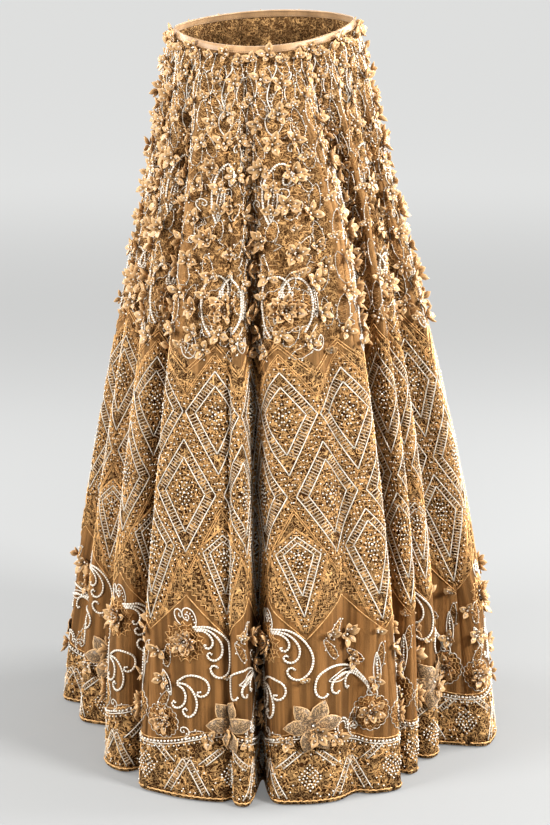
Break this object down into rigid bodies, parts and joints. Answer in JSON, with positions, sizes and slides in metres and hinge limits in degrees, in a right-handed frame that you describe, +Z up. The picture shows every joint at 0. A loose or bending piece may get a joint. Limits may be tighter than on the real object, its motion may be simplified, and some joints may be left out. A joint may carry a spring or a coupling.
{
  "type": "lehenga skirt",
  "caption": "Worn full-length lehenga skirt: flared gores under a narrow waistband, deep uneven folds, raised flowers and an open waist and hem.",
  "frame": {"origin": "centre of the waist opening, level with the waist's top edge at the sides", "axes": "+Z up along the wearer, -Y to the front, +X to the wearer's left"},
  "size_m": [0.665, 0.6627, 1.0535],
  "materials": {
    "embroidered_net": "sheer net with dense metallic embroidery",
    "waistband": "soft satin",
    "organza_petals": "folded organza with a silky sheen",
    "gold_thread": "twisted metallic thread",
    "pearl_beads": "pearl"
  },
  "bodies": {
    "root": {"waistband": "waistband", "kali_01": "embroidered_net", "kali_02": "embroidered_net", "kali_03": "embroidered_net", "kali_04": "embroidered_net", "kali_05": "embroidered_net", "kali_06": "embroidered_net", "kali_07": "embroidered_net", "kali_08": "embroidered_net", "kali_09": "embroidered_net", "kali_10": "embroidered_net", "kali_11": "embroidered_net", "kali_12": "embroidered_net", "kali_13": "embroidered_net", "kali_14": "embroidered_net"}
  },
  "joints": []
}
